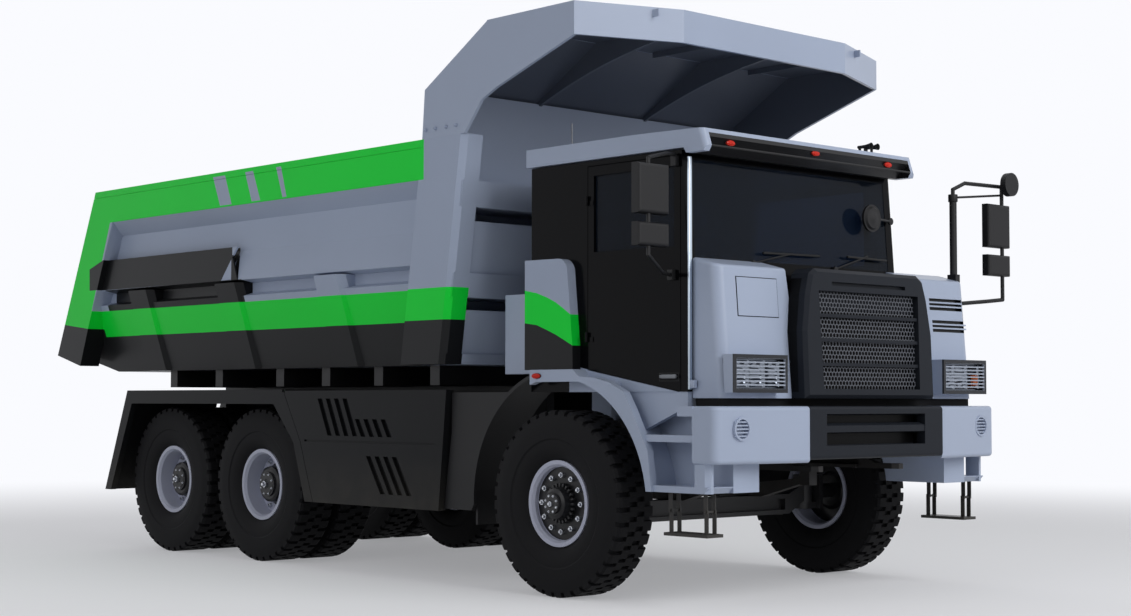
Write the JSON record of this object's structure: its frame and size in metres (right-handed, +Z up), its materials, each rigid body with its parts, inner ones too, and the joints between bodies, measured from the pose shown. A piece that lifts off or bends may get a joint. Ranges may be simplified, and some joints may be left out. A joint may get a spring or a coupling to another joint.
{
  "type": "mining dump truck",
  "caption": "Three-axle off-highway dump truck with a tipping load bed, a canopy over an offset cab, steered front wheels and twin rear wheels.",
  "frame": {"origin": "on the ground under the middle of the truck's length and width", "axes": "+Z up, the truck faces -Y, +X is its left side"},
  "size_m": [4.16, 9.03, 4.33],
  "materials": {
    "paint_grey": "satin",
    "paint_dark": "satin",
    "black_steel": "matt",
    "tyre_rubber": "matt",
    "rim_paint": "gloss",
    "cast": "rough",
    "chromed_rod": "polished",
    "glass": "gloss",
    "black_plastic": "matt",
    "lamp_lens": "gloss",
    "mesh_plastic": "satin",
    "seat_cloth": "woven",
    "bare_steel": "worn"
  },
  "bodies": {
    "chassis": {"battery_packs": "black_plastic", "bed_pivots": "black_steel", "bumper_centre": "mesh_plastic", "bumper_ends": "paint_grey", "cab_glass": "glass", "cab_roof": "paint_grey", "cab_shell": "paint_dark", "cross_members": "black_steel", "dashboard": "black_plastic", "drive_motor": "cast", "frame_rails": "black_steel", "front_axle": "cast", "front_fenders": "paint_grey", "front_springs": "black_steel", "grille_frame": "mesh_plastic", "grille_mesh": "mesh_plastic", "headlamps": "lamp_lens", "hood_panels": "paint_grey", "ladders": "black_steel", "left_cabinet": "paint_grey", "mirror_left": "black_plastic", "mudguards": "black_plastic", "prop_shafts": "black_steel", "rear_axle_housings": "cast", "rear_fenders": "paint_dark", "rear_springs": "black_steel", "seats": "seat_cloth", "service_cabinet": "paint_grey", "side_panels": "paint_dark", "steering_wheel": "black_plastic", "step_boxes": "paint_grey", "wing_panel": "paint_grey"},
    "bed": {"bed_sides": "paint_grey", "bed_floor": "bare_steel", "headboard": "paint_grey", "canopy": "paint_grey", "bed_subframe": "black_steel"},
    "hoist_barrel": {"hoist_barrels": "black_steel"},
    "hoist_stage_lower": {"hoist_stages_lower": "chromed_rod"},
    "hoist_stage_upper": {"hoist_stages_upper": "chromed_rod"},
    "hoist_rod": {"hoist_rods": "chromed_rod"},
    "door": {"door_right": "paint_dark", "door_glass": "glass", "mirror_right": "black_plastic"},
    "knuckle_right": {"knuckle_right": "cast"},
    "knuckle_left": {"knuckle_left": "cast"},
    "tie_rod": {"tie_rod": "black_steel"},
    "wheel_front_right": {"tyre_front_right": "tyre_rubber", "rim_front_right": "rim_paint"},
    "wheels_middle_right": {"tyres_middle_right": "tyre_rubber", "rims_middle_right": "rim_paint"},
    "wheels_rear_right": {"tyres_rear_right": "tyre_rubber", "rims_rear_right": "rim_paint"},
    "wheel_front_left": {"tyre_front_left": "tyre_rubber", "rim_front_left": "rim_paint"},
    "wheels_middle_left": {"tyres_middle_left": "tyre_rubber", "rims_middle_left": "rim_paint"},
    "wheels_rear_left": {"tyres_rear_left": "tyre_rubber", "rims_rear_left": "rim_paint"}
  },
  "joints": [
    {"name": "steer_right", "type": "hinge", "parent": "chassis", "child": "knuckle_right", "pos_m": [-1.15, -2.825, 0.684], "axis": [0, 0, 1], "range_deg": [-32, 32]},
    {"name": "steer_left", "type": "hinge", "parent": "chassis", "child": "knuckle_left", "pos_m": [1.15, -2.825, 0.684], "axis": [0, 0, 1], "range_deg": [-32.5, 32.5]},
    {"name": "tie_rod_swivel", "type": "hinge", "parent": "knuckle_right", "child": "tie_rod", "pos_m": [-1.15, -2.565, 0.512], "axis": [0, 0, 1], "range_deg": [-32.5, 32.5]},
    {"name": "spin_front_right", "type": "hinge", "parent": "knuckle_right", "child": "wheel_front_right", "pos_m": [-1.475, -2.825, 0.684], "axis": [1, 0, 0], "continuous": true},
    {"name": "spin_middle_right", "type": "hinge", "parent": "chassis", "child": "wheels_middle_right", "pos_m": [-0.9, 1.245, 0.684], "axis": [1, 0, 0], "continuous": true},
    {"name": "spin_rear_right", "type": "hinge", "parent": "chassis", "child": "wheels_rear_right", "pos_m": [-0.9, 2.745, 0.684], "axis": [1, 0, 0], "continuous": true},
    {"name": "spin_front_left", "type": "hinge", "parent": "knuckle_left", "child": "wheel_front_left", "pos_m": [1.475, -2.825, 0.684], "axis": [1, 0, 0], "continuous": true},
    {"name": "spin_middle_left", "type": "hinge", "parent": "chassis", "child": "wheels_middle_left", "pos_m": [0.9, 1.245, 0.684], "axis": [1, 0, 0], "continuous": true},
    {"name": "spin_rear_left", "type": "hinge", "parent": "chassis", "child": "wheels_rear_left", "pos_m": [0.9, 2.745, 0.684], "axis": [1, 0, 0], "continuous": true},
    {"name": "bed_tip", "type": "hinge", "parent": "chassis", "child": "bed", "pos_m": [0, 3.275, 1.45], "axis": [-1, 0, 0], "range_deg": [0, 45]},
    {"name": "hoist_swing", "type": "hinge", "parent": "chassis", "child": "hoist_barrel", "pos_m": [0, 1.675, 0.85], "axis": [-1, 0, 0], "range_deg": [0, 22.69]},
    {"name": "hoist_first", "type": "slide", "parent": "hoist_barrel", "child": "hoist_stage_lower", "axis": [0, -0.1322, 0.9912], "range_m": [0, 0.4157]},
    {"name": "hoist_second", "type": "slide", "parent": "hoist_stage_lower", "child": "hoist_stage_upper", "axis": [0, -0.1322, 0.9912], "range_m": [0, 0.4157]},
    {"name": "hoist_third", "type": "slide", "parent": "hoist_stage_upper", "child": "hoist_rod", "axis": [0, -0.1322, 0.9912], "range_m": [0, 0.4157]},
    {"name": "door_open", "type": "hinge", "parent": "chassis", "child": "door", "pos_m": [-1.514, -3.022, 2.3], "axis": [0, 0, -1], "range_deg": [0, 75]}
  ],
  "couplings": [
    {"joint": "steer_left", "follows": "steer_right", "ratio": 1},
    {"joint": "tie_rod_swivel", "follows": "steer_right", "ratio": -1},
    {"joint": "hoist_swing", "follows": "bed_tip", "ratio": 0.49755},
    {"joint": "hoist_first", "follows": "bed_tip", "m_per_rad": 0.52424},
    {"joint": "hoist_second", "follows": "bed_tip", "m_per_rad": 0.52424},
    {"joint": "hoist_third", "follows": "bed_tip", "m_per_rad": 0.52424}
  ]
}
